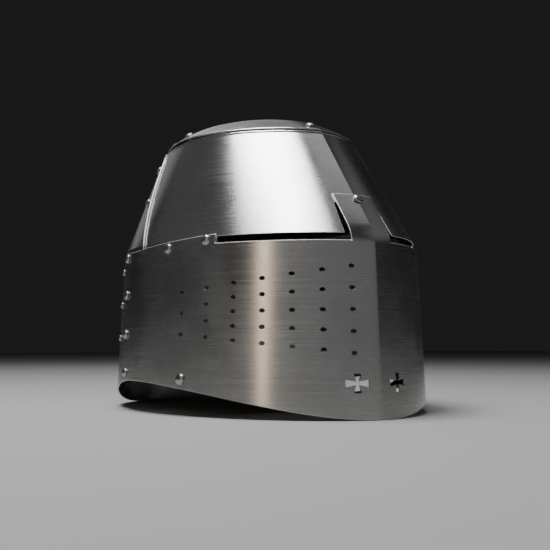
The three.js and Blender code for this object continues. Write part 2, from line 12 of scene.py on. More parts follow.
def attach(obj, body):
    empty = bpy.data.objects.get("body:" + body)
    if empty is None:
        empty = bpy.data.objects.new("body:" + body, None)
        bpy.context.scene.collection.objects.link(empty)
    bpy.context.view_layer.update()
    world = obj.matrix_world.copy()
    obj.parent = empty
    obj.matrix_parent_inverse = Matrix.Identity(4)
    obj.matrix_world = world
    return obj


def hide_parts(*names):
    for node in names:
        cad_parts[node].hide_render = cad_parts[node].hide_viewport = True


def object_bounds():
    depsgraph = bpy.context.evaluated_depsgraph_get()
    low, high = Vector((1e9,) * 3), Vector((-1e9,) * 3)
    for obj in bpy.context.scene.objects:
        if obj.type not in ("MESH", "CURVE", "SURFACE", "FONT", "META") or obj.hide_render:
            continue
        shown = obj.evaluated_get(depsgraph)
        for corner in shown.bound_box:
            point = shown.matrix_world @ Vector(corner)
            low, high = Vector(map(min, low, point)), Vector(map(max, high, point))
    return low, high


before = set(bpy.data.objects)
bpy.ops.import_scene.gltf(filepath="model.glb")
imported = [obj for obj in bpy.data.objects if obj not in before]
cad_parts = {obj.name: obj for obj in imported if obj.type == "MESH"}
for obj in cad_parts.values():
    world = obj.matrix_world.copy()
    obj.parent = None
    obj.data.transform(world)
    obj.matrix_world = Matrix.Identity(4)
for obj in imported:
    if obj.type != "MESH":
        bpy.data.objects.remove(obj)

CAD_BOX = [list(map(float, corner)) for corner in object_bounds()]
MM = 0.001

# ---- driving dimensions, millimetres
RIM = dict(z=0, half=135, front=192, back=169, keel=16)
BREAK = dict(z=152, half=127.5, front=183, back=165, keel=16)
CROWN = dict(z=253, half=88, front=105, back=136, keel=12)
DOME_RISE = 25
DOME_POWER = 2.5
DOME_MIDDLE_Y = (CROWN["back"] - CROWN["front"]) / 2

SHEET = 1.6
GAP = 0.3
LAYER = SHEET + GAP
EDGE = 0.42  # width of the filed edge round a plate
HOLE_EDGE = 0.14  # and round a hole in it

RIM_ARCH = 28
REAR_FLAT_FROM = 150
SIGHT = dict(end=54, bottom=146, top=152)
NASAL = dict(half=19.5, top=188.5, bend=10, blend_from=11, blend_to=22)
NASAL_SLOT = dict(low=24, high=21, top=180)
LAP_BOTTOM = 137
SIDE_EDGE = 147
SIGHT_END_EDGE = 154
SIDE_EDGE_FROM = 89
LOWER_SEAM = (98, 104)
UPPER_SEAM = (89.5, 118)
SEAM_LAP = 8
FLANGE = 13  # width of the turned-in top of the cone
FOLD = 2.2  # radius of that turn

BREATH = dict(wide=5, high=3.6)
BREATH_COLUMNS = (9.3, 19.3, 29, 38.3, 47.6, 56.7, 65.8)
BREATH_ROWS = (5, 5, 5, 5, 5, 4, 3)
BREATH_PITCH = (17.7, 16.2, 14.8, 13.3, 11.9, 13.9, 18)
BREATH_MIDDLE = (89.3, 87.3)
CROSS = dict(angle=8.5, z=29.7, wide=20, high=15.5, waist=3, flare=6)

LINER = dict(bottom=178, top=206, out=-4, thick=2.5, pads=6, pad_thick=5)

# The model's origin is under the middle of the helm; the formulas below have theirs on the sections' axis.
SHIFT_Y = CAD_BOX[0][1] / MM + RIM["front"] + LAYER


# ---- maths of the shell
def mix(a, b, k):
    return a + (b - a) * k


def unit(vectors):
    return vectors / np.linalg.norm(vectors, axis=-1)[..., None]


def run_lengths(points):
    """How far along a path each of its points is."""
    return np.concatenate([[0], np.cumsum(np.linalg.norm(np.diff(points, axis=0), axis=1))])


def ribbon_axes(path):
    """Along a path that lies in an x-z plane, across it, and off its face."""
    ahead = unit(np.gradient(path, axis=0))
    across = np.repeat(np.array([[0.0, 1.0, 0.0]]), len(path), 0)
    return ahead, across, np.cross(ahead, across)


def smooth(x, low, high):
    t = np.clip((x - low) / (high - low), 0, 1)
    return t * t * (3 - 2 * t)


def section(z, low=RIM, high=BREAK):
    k = (z - low["z"]) / (high["z"] - low["z"])
    return [mix(low[key], high[key], k) for key in ("half", "front", "back", "keel")]


def lower_section(z):
    return section(z)


def cone_section(z):
    return section(z, BREAK, CROWN)


def shell_section(z):
    return [np.where(z < BREAK["z"], a, b) for a, b in zip(lower_section(z), cone_section(z))]


def nasal_section(z):
    """Follows the lower plates, bends softly at the break and then follows the cone."""
    past = z - BREAK["z"]
    bend = NASAL["bend"]
    ramp = np.where(past > bend, past, np.maximum(past + bend, 0) ** 2 / (4 * bend))
    kink = [b - a for a, b in zip(lower_section(BREAK["z"] + 1), cone_section(BREAK["z"] + 1))]
    return [a + k * ramp for a, k in zip(lower_section(z), kink)]


def plan_point(shape, angle, out):
    half, front, back, keel = shape
    s = np.sin(np.radians(angle))
    c = np.cos(np.radians(angle))
    x = (half + out) * s
    y = np.where(c > 0, -(front + out - keel) * c - keel * (1 - np.abs(s)), -(back + out) * c)
    return x, y


def shell_point(angle, z, out, shape=shell_section):
    x, y = plan_point(shape(z), angle, out)
    return np.stack([x, y, z + 0 * x], -1)


def dome_point(angle, reach, lift):
    x, y = plan_point([CROWN[key] for key in ("half", "front", "back", "keel")], angle, 0)
    rise = DOME_RISE * (1 - np.maximum(reach, 0) ** DOME_POWER)
    return np.stack([x * reach, DOME_MIDDLE_Y + (y - DOME_MIDDLE_Y) * reach, CROWN["z"] + rise + lift], -1)


def fold_angle(angle):
    return np.where(np.abs(angle) > 180, 360 - np.abs(angle), np.abs(angle))


def rim_height(angle):
    a = fold_angle(angle)
    turned = np.where(a < 90, a, 90 + (a - 90) * 90 / (REAR_FLAT_FROM - 90))
    return np.where(a >= REAR_FLAT_FROM, 0, RIM_ARCH * np.sin(np.radians(turned)) ** 2)


def face_top(angle):
    k = np.clip((fold_angle(angle) - SIGHT["end"]) / (SIDE_EDGE_FROM - SIGHT["end"]), 0, 1)
    return mix(SIGHT_END_EDGE, SIDE_EDGE, k)


def lower_seam(z):
    return mix(*LOWER_SEAM, z / SIDE_EDGE)


def upper_seam(z):
    return mix(*UPPER_SEAM, np.clip((z - BREAK["z"]) / (CROWN["z"] - BREAK["z"]), 0, 1))


def face_out(angle):
    return mix(GAP, GAP + 2 * LAYER, smooth(fold_angle(angle), 35, 89)) + SHEET


def crown_lift(angle, reach):
    return mix(2, mix(0.7, 0.7 + LAYER, smooth(fold_angle(angle), 60, 105)), reach)


# ---- the plates as surfaces of (angle, height)
# Each returns points for a depth below the plate's outer face.
def face_surface(angle, z, depth):
    share = 1 - smooth(np.abs(angle), NASAL["blend_from"], NASAL["blend_to"])
    straight = shell_point(angle, z, face_out(angle) - depth, lower_section)
    bent = shell_point(angle, z, face_out(angle) - depth, nasal_section)
    share = np.where(z > SIGHT["bottom"] + 1, np.abs(angle) < NASAL["blend_from"], share)
    return mix(straight, bent, share[..., None])


def lower_back_surface(angle, z, depth):
    return shell_point(angle, z, GAP + LAYER + SHEET - depth, lower_section)


def cone_surface(angle, z, depth, out):
    """The cone up to its top edge; heights past that run round the fold and in along the flange."""
    top = CROWN["z"] + (LAYER if out > SHEET else 0)
    past = np.maximum(z - (top - FOLD), 0)
    side = shell_point(angle, np.minimum(z, top - FOLD), out - depth)
    reach = 1 - np.maximum(past - FOLD, 0) / 115
    flange = dome_point(angle, reach, (LAYER if out > SHEET else 0) - depth)
    share = smooth(past, 0, 2 * FOLD)
    return mix(side + np.stack([0 * past, 0 * past, np.minimum(past, FOLD)], -1), flange, share[..., None])


def brow_surface(angle, z, depth):
    return cone_surface(angle, z, depth, 0)


def upper_back_surface(angle, z, depth):
    return cone_surface(angle, z, depth, GAP + SHEET)


def crown_surface(angle, inset, depth):
    reach = 1 - inset
    return dome_point(angle, reach, crown_lift(angle, reach) + SHEET - depth)


def surface_frame(surface, angle, height):
    """Axes at a point of a surface: along the plate, up it and straight out of it."""
    def at(a, h):
        return Vector(surface(np.array(float(a)), np.array(float(h)), 0.0))

    step = 0.05
    along = (at(angle + step, height) - at(angle - step, height)).normalized()
    up = (at(angle, height + step) - at(angle, height - step)).normalized()
    normal = along.cross(up).normalized()
    level = normal.cross(along).normalized()
    matrix = Matrix((along, level, normal)).transposed().to_4x4()
    matrix.translation = at(angle, height)
    return matrix


# ---- mesh helpers
def to_model(points):
    points = np.asarray(points, float).copy()
    points[..., 1] += SHIFT_Y
    return points * MM


def add_object(name, data):
    piece = bpy.data.objects.new(name, data)
    bpy.context.scene.collection.objects.link(piece)
    return piece


def new_object(name, points, faces, normals=None, uv=None):
    """points in millimetres; normals and uv, where given, are one per face corner."""
    mesh = bpy.data.meshes.new(name)
    mesh.from_pydata(to_model(points).tolist(), [], [list(face) for face in faces])
    mesh.polygons.foreach_set("use_smooth", [True] * len(mesh.polygons))
    if uv is not None:
        layer = mesh.uv_layers.new(name="along")
        layer.data.foreach_set("uv", np.asarray(uv, float).ravel())
    mesh.validate()
    if normals is not None:
        mesh.normals_split_custom_set([tuple(n) for n in normals])
    mesh.update()
    return add_object(name, mesh)


def resample(corners, spacing):
    """Points along a closed outline of straight runs, no further apart than the spacing."""
    points = []
    for a, b in zip(corners, corners[1:] + corners[:1]):
        count = max(1, math.ceil(math.dist(a, b) / spacing))
        points += [mix(np.array(a, float), np.array(b, float), i / count) for i in range(count)]
    return np.array(points)


def outward(loop):
    """Mitre normals pointing out of a closed counter-clockwise outline, longer where it turns sharply."""
    ahead = unit(np.roll(loop, -1, 0) - loop)
    behind = unit(loop - np.roll(loop, 1, 0))
    normal = unit(np.stack([ahead[:, 1] + behind[:, 1], -ahead[:, 0] - behind[:, 0]], -1))
    cosine = np.abs(normal[:, 0] * ahead[:, 1] - normal[:, 1] * ahead[:, 0])
    return normal / np.maximum(cosine, 0.5)[:, None]


def signed_area(loop):
    ahead = np.roll(loop, -1, 0)
    return 0.5 * float(np.sum(loop[:, 0] * ahead[:, 1] - ahead[:, 0] * loop[:, 1]))


def inside(points, loops, margin=0.0):
    """Which points are inside the first outline and outside the others, by at least the margin."""
    good = np.ones(len(points), bool)
    for i, loop in enumerate(loops):
        run = np.roll(loop, -1, 0) - loop
        offset = points[:, None] - loop[None]
        if margin > 0:
            t = np.clip((offset * run).sum(2) / (run ** 2).sum(1), 0, 1)
            good &= ((offset - t[..., None] * run) ** 2).sum(2).min(1) > margin ** 2
        above = loop[:, 1] > points[:, None, 1]
        with np.errstate(divide="ignore", invalid="ignore"):
            left_of = offset[..., 0] < offset[..., 1] * run[:, 0] / run[:, 1]
        odd = ((above != np.roll(above, -1, 1)) & left_of).sum(1) % 2 == 1
        good &= odd == (i == 0)
    return good


def flat_mesh(loops, creases, spacing):
    """Triangles of a flat pattern: its loops, lines that must stay edges, and a grid between them.

    Gives the points, the triangles, and where each point of the loops went.
    """
    points = [p for loop in loops for p in loop]
    edges = []
    start = 0
    for loop in loops:
        edges += [(start + i, start + (i + 1) % len(loop)) for i in range(len(loop))]
        start += len(loop)
    for crease in creases:
        keep = inside(crease, loops, 0.7)
        places = np.cumsum(keep) - 1 + len(points)
        edges += [(places[i], places[i + 1]) for i in range(len(crease) - 1) if keep[i] and keep[i + 1]]
        points += list(crease[keep])
    low, high = loops[0].min(0), loops[0].max(0)
    count = np.maximum(np.ceil((high - low) / spacing).astype(int), 2)
    columns, rows = (np.linspace(low[i], high[i], count[i] + 1)[1:-1] for i in (0, 1))
    grid = np.stack(np.meshgrid(columns, rows), -1).reshape(-1, 2)
    grid = grid[inside(grid, loops, 1.2)]
    for crease in creases:
        grid = grid[((grid[:, None] - crease[None]) ** 2).sum(2).min(1) > 1.0]
    points = np.concatenate([points, grid])
    edges = [(int(i), int(j)) for i, j in edges]
    verts, _, faces, origins, _, _ = delaunay_2d_cdt([Vector(p) for p in points], edges, [], 1, 1e-6)
    verts = np.array([tuple(v) for v in verts])
    faces = np.array([tuple(face) for face in faces])
    turn = np.cross(verts[faces[:, 1]] - verts[faces[:, 0]], verts[faces[:, 2]] - verts[faces[:, 0]])
    faces[turn < 0] = faces[turn < 0][:, ::-1]
    faces = faces[(np.abs(turn) > 1e-7) & inside(verts[faces].mean(1), loops)]
    went = {source: new for new, sources in enumerate(origins) for source in sources}
    return verts, faces, went


def plate(name, surface, outline, holes=(), creases=(), along=2.4, step=(5.2, 9.0)):
    """A sheet of metal cut to an outline with holes, both given in (degrees, height), with filed edges.

    along is how many millimetres one degree is, so that the flat pattern is close to true size.
    Gives the piece and which of its faces are the filed outer edge.
    """
    scale = np.array([along, 1.0])
    loops = [np.asarray(loop, float) * scale for loop in (outline, *holes)]
    loops = [loop if (signed_area(loop) > 0) == (i == 0) else loop[::-1] for i, loop in enumerate(loops)]
    moves = [outward(loop) for loop in loops]
    edges = [EDGE] + [HOLE_EDGE] * len(holes)
    inset = [loop - soft * move for loop, move, soft in zip(loops, moves, edges)]
    creases = [np.asarray(crease, float) * scale for crease in creases]
    flat, faces, went = flat_mesh(inset, creases, np.array(step))

    def lift(points, depth):
        pattern = np.asarray(points) / scale
        return surface(pattern[..., 0], pattern[..., 1], depth)

    def slopes(points, h=0.004):
        across = (lift(points + [h, 0], 0.0) - lift(points - [h, 0], 0.0)) / (2 * h)
        up = (lift(points + [0, h], 0.0) - lift(points - [0, h], 0.0)) / (2 * h)
        return across, up

    def normals_at(points):
        return unit(np.cross(*slopes(points)))

    # Normals are taken just inside each triangle, so that the two sides of a crease stay apart.
    corners = flat[faces]
    corners = corners + 0.03 * (corners.mean(1)[:, None] - corners)
    face_normals = normals_at(corners)
    n = len(flat)
    points = [lift(flat, 0.0), lift(flat, SHEET)]
    all_faces = [tuple(map(int, face)) for face in faces]
    all_faces += [tuple(int(v) + n for v in face[::-1]) for face in faces]
    corner_normals = [*face_normals.reshape(-1, 3), *(-face_normals[:, ::-1]).reshape(-1, 3)]
    uv = [*flat[faces].reshape(-1, 2), *flat[faces[:, ::-1]].reshape(-1, 2)]
    base = 2 * n
    start = 0
    for loop, move, soft in zip(loops, moves, edges):
        size = len(loop)
        across, up = slopes(loop)
        wall = unit(move[:, :1] * across + move[:, 1:] * up)
        face = normals_at(loop)
        points += [lift(loop, soft), lift(loop, SHEET - soft)]
        unrolled = [loop + move * out for out in (-soft, 0, SHEET, SHEET + soft)]
        for i in range(size):
            j = (i + 1) % size
            a, b = went[start + i], went[start + j]
            upper = (base + i, base + j)
            under = (base + size + i, base + size + j)
            all_faces += [(b, a, upper[0], upper[1]), (upper[1], upper[0], under[0], under[1])]
            all_faces.append((under[1], under[0], a + n, b + n))
            corner_normals += [face[j], face[i], wall[i], wall[j]]
            corner_normals += [wall[j], wall[i], wall[i], wall[j]]
            corner_normals += [wall[j], wall[i], -face[i], -face[j]]
            for near, far in zip(unrolled, unrolled[1:]):
                uv += [near[j], near[i], far[i], far[j]]
        base += 2 * size
        start += size
    filed = slice(2 * len(faces), 2 * len(faces) + 3 * len(outline))
    return new_object(name, np.concatenate(points), all_faces, corner_normals, np.array(uv) * MM), filed


def ring_quads(rings, around, start=0):
    """Quads between rings of points that follow each other in a list."""
    quads = []
    for r in range(start, start + (rings - 1) * around, around):
        for k in range(around):
            l = (k + 1) % around
            quads.append((r + k, r + around + k, r + around + l, r + l))
    return quads


def swept(name, centres, sides, ups, profile, closed=False):
    """A closed body: a loop of (side, up) offsets carried along a path, which may change on the way."""
    centres, sides, ups = (np.asarray(part, float) for part in (centres, sides, ups))
    n = len(centres)
    profile = np.asarray(profile, float)
    if profile.ndim == 2:
        profile = np.repeat(profile[None], n, 0)
    m = profile.shape[1]
    points = centres[:, None] + profile[..., :1] * sides[:, None] + profile[..., 1:] * ups[:, None]
    run = run_lengths(centres)
    girth = run_lengths(profile[n // 2])
    faces, uv = [], []
    for i in range(n if closed else n - 1):
        for k in range(m):
            j, l = (i + 1) % n, (k + 1) % m
            faces.append((i * m + k, j * m + k, j * m + l, i * m + l))
            far = run[i + 1] if i + 1 < n else run[-1] + (run[1] - run[0])
            wide = girth[k + 1] if k + 1 < m else girth[-1] + (girth[1] - girth[0])
            uv += [(run[i], girth[k]), (far, girth[k]), (far, wide), (run[i], wide)]
    if not closed:
        faces += [tuple(reversed(range(m))), tuple(range((n - 1) * m, n * m))]
        uv += [tuple(profile[0][k]) for k in reversed(range(m))] + [tuple(p) for p in profile[-1]]
    piece = new_object(name, points.reshape(-1, 3), faces, None, np.array(uv) * MM)
    face_outwards(piece)
    return piece


def face_outwards(piece, weld=0):
    """Turns the faces outwards, after joining points that are within the weld distance in millimetres."""
    mesh = bmesh.new()
    mesh.from_mesh(piece.data)
    if weld:
        bmesh.ops.remove_doubles(mesh, verts=mesh.verts, dist=weld * MM)
    bmesh.ops.recalc_face_normals(mesh, faces=mesh.faces)
    mesh.to_mesh(piece.data)
    mesh.free()


def rounded_box(wide, high, radius, steps=3):
    """A rectangle with rounded corners as a loop of points about its middle."""
    corners = []
    for i, (x, y) in enumerate(((1, 1), (-1, 1), (-1, -1), (1, -1))):
        for k in range(steps + 1):
            t = math.pi / 2 * (i + k / steps)
            corners.append((x * (wide / 2 - radius) + radius * math.cos(t),
                            y * (high / 2 - radius) + radius * math.sin(t)))
    return corners


def circle(radius, steps):
    turns = (2 * math.pi * k / steps for k in range(steps))
    return [(radius * math.cos(t), radius * math.sin(t)) for t in turns]


def cut(piece, cutters):
    """Takes the cutters out of the piece, for good."""
    for cutter in cutters:
        modifier = piece.modifiers.new("cut", "BOOLEAN")
        modifier.operation = "DIFFERENCE"
        modifier.solver = "EXACT"
        modifier.object = cutter
        with bpy.context.temp_override(object=piece, active_object=piece):
            bpy.ops.object.modifier_apply(modifier=modifier.name)
        bpy.data.objects.remove(cutter)


def punch(foot, axis, radius, length):
    """A round bar, used only to cut holes."""
    axis = Vector(axis).normalized()
    side = axis.orthogonal().normalized()
    ends = [Vector(foot), Vector(foot) + axis * length]
    return swept("punch", ends, [side] * 2, [axis.cross(side)] * 2, circle(radius, 20))


STITCH = dict(wide=0.8, high=0.7)


def bead_row(name, centres, alongs, ups, long):
    """Many small stitches as one piece: each is a rounded bar lying along the seam."""
    points, faces = [], []
    rings, around = 4, 6
    wide, high = STITCH["wide"], STITCH["high"]
    for centre, along, up in zip(centres, alongs, ups):
        centre, along, up = Vector(centre), Vector(along).normalized(), Vector(up).normalized()
        side = along.cross(up)
        start = len(points)
        for r in range(rings + 1):
            t = math.pi * r / rings
            reach = math.cos(t) * long / 2
            fat = max(math.sin(t) ** 0.6, 0.05)
            for k in range(around):
                w = 2 * math.pi * k / around
                points.append(tuple(centre + along * reach + side * math.cos(w) * wide / 2 * fat
                                    + up * math.sin(w) * high / 2 * fat))
        faces += ring_quads(rings + 1, around, start)
        faces.append(tuple(start + k for k in reversed(range(around))))
        faces.append(tuple(start + rings * around + k for k in range(around)))
    piece = new_object(name, points, faces)
    face_outwards(piece)
    return piece


# ---- materials
def new_material(name, base, metallic, rough):
    material = bpy.data.materials.new(name)
    material.use_nodes = True
    tree = material.node_tree
    shader = tree.nodes["Principled BSDF"]
    shader.inputs["Base Color"].default_value = (*base, 1)
    shader.inputs["Metallic"].default_value = metallic
    shader.inputs["Roughness"].default_value = rough
    return material, tree, shader


def add_node(tree, kind, **values):
    node = tree.nodes.new(kind)
    for key, value in values.items():
        if key in node.inputs:
            node.inputs[key].default_value = value
        else:
            setattr(node, key, value)
    return node


def link(source, target):
    target.id_data.links.new(source, target)


def bumps(tree, shader, layers):
    """Bumps on top of each other, the first one lowest: each is (height, strength, distance in metres)."""
    below = None
    for height, strength, distance in layers:
        node = add_node(tree, "ShaderNodeBump", Strength=strength, Distance=distance)
        link(height, node.inputs["Height"])
        if below:
            link(below, node.inputs["Normal"])
        below = node.outputs["Normal"]
    link(below, shader.inputs["Normal"])


def two_tone(tree, share, dark, light):
    colour = add_node(tree, "ShaderNodeMixRGB")
    colour.inputs[1].default_value = (*dark, 1)
    colour.inputs[2].default_value = (*light, 1)
    link(share, colour.inputs[0])
    return colour.outputs[0]


def shaded(base, share):
    return [min(c * share, 1) for c in base]


def object_place(tree):
    return add_node(tree, "ShaderNodeTexCoord").outputs["Object"]


def noise(tree, place, scale, detail, rough, stretch=(1, 1, 1)):
    mapping = add_node(tree, "ShaderNodeMapping")
    mapping.inputs["Scale"].default_value = stretch
    link(place, mapping.inputs["Vector"])
    texture = add_node(tree, "ShaderNodeTexNoise", Scale=scale, Detail=detail, Roughness=rough)
    link(mapping.outputs["Vector"], texture.inputs["Vector"])
    return texture.outputs["Fac"]


def ramp(tree, value, low, high, out_low, out_high):
    node = add_node(tree, "ShaderNodeMapRange")
    for key, number in zip(("From Min", "From Max", "To Min", "To Max"), (low, high, out_low, out_high)):
        node.inputs[key].default_value = number
    link(value, node.inputs["Value"])
    return node.outputs["Result"]


def steel_material(name, base, rough, anisotropy, streak=1.0):
    """Brushed steel: long fine scratches along the plate, soft hammered waves, and cloudy polishing."""
    material, tree, shader = new_material(name, base, 1.0, rough)
    shader.inputs["Anisotropic"].default_value = anisotropy
    shader.inputs["Anisotropic Rotation"].default_value = 0.25  # a highlight spreads across the scratches
    uv = add_node(tree, "ShaderNodeUVMap", uv_map="along")
    place = uv.outputs["UV"]
    body = object_place(tree)
    tangent = add_node(tree, "ShaderNodeTangent", direction_type="UV_MAP", uv_map="along")
    link(tangent.outputs["Tangent"], shader.inputs["Tangent"])

    scratches = noise(tree, place, 1.0, 3.0, 0.65, (22, 4200, 1))
    bands = noise(tree, place, 1.0, 2.0, 0.5, (6, 700, 1))
    clouds = noise(tree, body, 17.0, 3.0, 0.5)
    waves = noise(tree, body, 26.0, 1.0, 0.4)

    mixed = add_node(tree, "ShaderNodeMath", operation="MULTIPLY_ADD")
    link(bands, mixed.inputs[0])
    mixed.inputs[1].default_value = 0.6
    link(scratches, mixed.inputs[2])
    roughness = add_node(tree, "ShaderNodeMath", operation="ADD")
    link(ramp(tree, mixed.outputs[0], 0.5, 1.1, rough - 0.025, rough + 0.035), roughness.inputs[0])
    link(ramp(tree, clouds, 0.35, 0.65, -0.02, 0.03), roughness.inputs[1])
    link(roughness.outputs[0], shader.inputs["Roughness"])

    share = ramp(tree, mixed.outputs[0], 0.55, 1.05, 0, 1)
    colour = two_tone(tree, share, shaded(base, 0.88), shaded(base, 1.07))
    link(colour, shader.inputs["Base Color"])
    bumps(tree, shader, [(waves, 0.1, 0.0008), (scratches, 0.045 * streak, 0.00008)])
    return material


def cut_steel_material(name, base):
    """The filed edges of a plate: much rougher than its faces, and brighter in base colour, which is a
    painted highlight along the edges.
    """
    material, tree, shader = new_material(name, base, 1.0, 0.5)
    body = object_place(tree)
    filing = noise(tree, body, 1400.0, 3.0, 0.6)
    link(ramp(tree, filing, 0.3, 0.7, 0.42, 0.6), shader.inputs["Roughness"])
    bumps(tree, shader, [(filing, 0.3, 0.0001)])
    return material


STEEL = steel_material("brushed_steel", (0.56, 0.555, 0.545), 0.25, 0.6)
# the cut steel's base colour, brighter than the faces', is a painted highlight on the filed edges
CUT_STEEL = cut_steel_material("cut_steel", (0.72, 0.715, 0.70))
RIVET_STEEL = steel_material("rivet_steel", (0.43, 0.425, 0.415), 0.27, 0.0, 0.5)


def leather_material(name, base, dark):
    """Vegetable-tanned leather: pebbled grain with fine pores, handled patches, and a dull polish."""
    material, tree, shader = new_material(name, base, 0.0, 0.55)
    body = object_place(tree)
    cells = add_node(tree, "ShaderNodeTexVoronoi", Scale=900.0, feature="DISTANCE_TO_EDGE")
    link(body, cells.inputs["Vector"])
    pores = noise(tree, body, 2600.0, 2.0, 0.5)
    patches = noise(tree, body, 38.0, 4.0, 0.6)
    colour = two_tone(tree, ramp(tree, patches, 0.35, 0.65, 0, 1), dark, base)
    link(colour, shader.inputs["Base Color"])
    link(ramp(tree, patches, 0.3, 0.7, 0.42, 0.68), shader.inputs["Roughness"])
    grain = ramp(tree, cells.outputs["Distance"], 0, 0.12, 0, 1)
    bumps(tree, shader, [(grain, 0.5, 0.0003), (pores, 0.3, 0.0001)])
    return material


def linen_material(name, base, thread):
    """Coarse linen: a plain weave of uneven threads, a little grey where it was handled, with painted shade
    in the low spots between the threads.
    """
    material, tree, shader = new_material(name, base, 0.0, 0.9)
    shader.inputs["Sheen Weight"].default_value = 0.25
    body = object_place(tree)
    heights = []
    for axis in ("X", "Z"):
        wave = add_node(tree, "ShaderNodeTexWave", bands_direction=axis, Scale=thread)
        wave.inputs["Distortion"].default_value = 1.2
        wave.inputs["Detail"].default_value = 2.0
        link(body, wave.inputs["Vector"])
        heights.append(wave.outputs["Fac"])
    weave = add_node(tree, "ShaderNodeMath", operation="MULTIPLY")
    link(heights[0], weave.inputs[0])
    link(heights[1], weave.inputs[1])
    soil = noise(tree, body, 22.0, 4.0, 0.6)
    colour = two_tone(tree, ramp(tree, soil, 0.3, 0.6, 0, 1), shaded(base, 0.62), base)
    # painted shade: the colour is darker where the weave's height is low, between the threads
    painted_weave_shade = add_node(tree, "ShaderNodeMixRGB", blend_type="MULTIPLY")
    painted_weave_shade.inputs[0].default_value = 0.45
    link(colour, painted_weave_shade.inputs[1])
    link(ramp(tree, weave.outputs[0], 0, 1, 0.55, 1), painted_weave_shade.inputs[2])
    link(painted_weave_shade.outputs[0], shader.inputs["Base Color"])
    bumps(tree, shader, [(weave.outputs[0], 0.6, 0.0004)])
    return material


def brass_material(name, base):
    """Cast brass with a worn polish: brown in the hollows and fine random scratches."""
    material, tree, shader = new_material(name, base, 1.0, 0.32)
    body = object_place(tree)
    tarnish = noise(tree, body, 160.0, 4.0, 0.6)
    scratches = noise(tree, body, 1500.0, 2.0, 0.6, (4, 1, 1))
    colour = two_tone(tree, ramp(tree, tarnish, 0.3, 0.5, 0, 1), shaded(base, 0.45), base)
    link(colour, shader.inputs["Base Color"])
    link(ramp(tree, tarnish, 0.3, 0.6, 0.5, 0.28), shader.inputs["Roughness"])
    bumps(tree, shader, [(scratches, 0.15, 0.0001)])
    return material


LEATHER = leather_material("tanned_leather", (0.115, 0.058, 0.028), (0.055, 0.028, 0.014))
LINEN = linen_material("coarse_linen", (0.52, 0.45, 0.34), 900.0)
THREAD = linen_material("waxed_thread", (0.60, 0.53, 0.40), 2400.0)
BRASS = brass_material("cast_brass", (0.62, 0.44, 0.16))


def finish_piece(piece, material, body="shell", nodes=()):
    piece.data.materials.clear()
    piece.data.materials.append(material)
    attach(piece, body)
    if nodes:
        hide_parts(*nodes)
    return piece


# ---- plates
def sweep(low, high, step=1.6):
    count = max(1, math.ceil(abs(high - low) / step))
    return [low + (high - low) * i / count for i in range(count + 1)]


def seam_edge(low, hand):
    """The face plate's edge along the lower side seam, from a height up."""
    return [(hand * lower_seam(z), z) for z in sweep(low, SIDE_EDGE, 5)]


def strip_angle(z):
    return math.degrees(math.asin(NASAL["half"] / float(nasal_section(np.array(float(z)))[0])))


def face_outline():
    past = LOWER_SEAM[0] + 1.1
    outline = [(a, float(rim_height(a))) for a in sweep(-past, past)]
    outline += seam_edge(outline[-1][1] + 3, 1)
    half = [(a, float(face_top(a))) for a in sweep(LOWER_SEAM[1] - 1.5, SIGHT["end"])]
    half += [(SIGHT["end"], z) for z in sweep(SIGHT_END_EDGE - 1.5, SIGHT["bottom"], 2)]
    half += [(a, SIGHT["bottom"]) for a in sweep(SIGHT["end"] - 1.5, strip_angle(SIGHT["bottom"]) + 1)]
    half += [(strip_angle(z), z) for z in sweep(SIGHT["bottom"], NASAL["top"], 2)]
    outline += half
    top = strip_angle(NASAL["top"]) - 1
    outline += [(a, NASAL["top"]) for a in sweep(top, -top, 1)]
    outline += [(-a, z) for a, z in reversed(half)]
    return outline + list(reversed(seam_edge(outline[0][1] + 3, -1)))


def millimetres_per_degree(surface, angle, z):
    step = 0.1
    a, b = (surface(np.array([angle + s]), np.array([float(z)]), 0.0)[0] for s in (-step, step))
    return float(np.linalg.norm(b - a)) / (2 * step)


def breath_holes():
    holes = []
    for i, column in enumerate(BREATH_COLUMNS):
        middle = mix(*BREATH_MIDDLE, i / (len(BREATH_COLUMNS) - 1))
        for j in range(BREATH_ROWS[i]):
            z = middle + (j - (BREATH_ROWS[i] - 1) / 2) * BREATH_PITCH[i]
            wide = BREATH["wide"] / 2 / millimetres_per_degree(face_surface, -column, z)
            high = BREATH["high"] / 2
            holes.append([(-column + wide * x, z + high * y) for x, y in circle(1, 20)])
    return holes


def cross_hole(angle):
    waist, flare = CROSS["waist"] / 2, CROSS["flare"] / 2
    corners = []
    for i, reach in enumerate((CROSS["wide"] / 2, CROSS["high"] / 2) * 2):
        c, s = ((1, 0), (0, 1), (-1, 0), (0, -1))[i]
        for r, side in ((waist, -waist), (reach, -flare), (reach, flare)):
            corners.append((r * c - side * s, r * s + side * c))
    scale = millimetres_per_degree(face_surface, angle, CROSS["z"])
    return [(angle + x / scale, CROSS["z"] + y) for x, y in resample(corners, 1.2)]


def lower_back_outline():
    first = LOWER_SEAM[0] - SEAM_LAP
    outline = [(a, float(rim_height(a))) for a in sweep(first, 360 - first)]
    right = [(360 - float(lower_seam(z)) + SEAM_LAP, z) for z in sweep(outline[-1][1] + 4, SIDE_EDGE, 5)]
    outline += right
    last = LOWER_SEAM[1] - SEAM_LAP
    outline += [(a, SIDE_EDGE) for a in sweep(360 - last - 1.6, last + 1.6)]
    return outline + [(360 - a, z) for a, z in reversed(right)]


FLANGE_END = CROWN["z"] + FLANGE


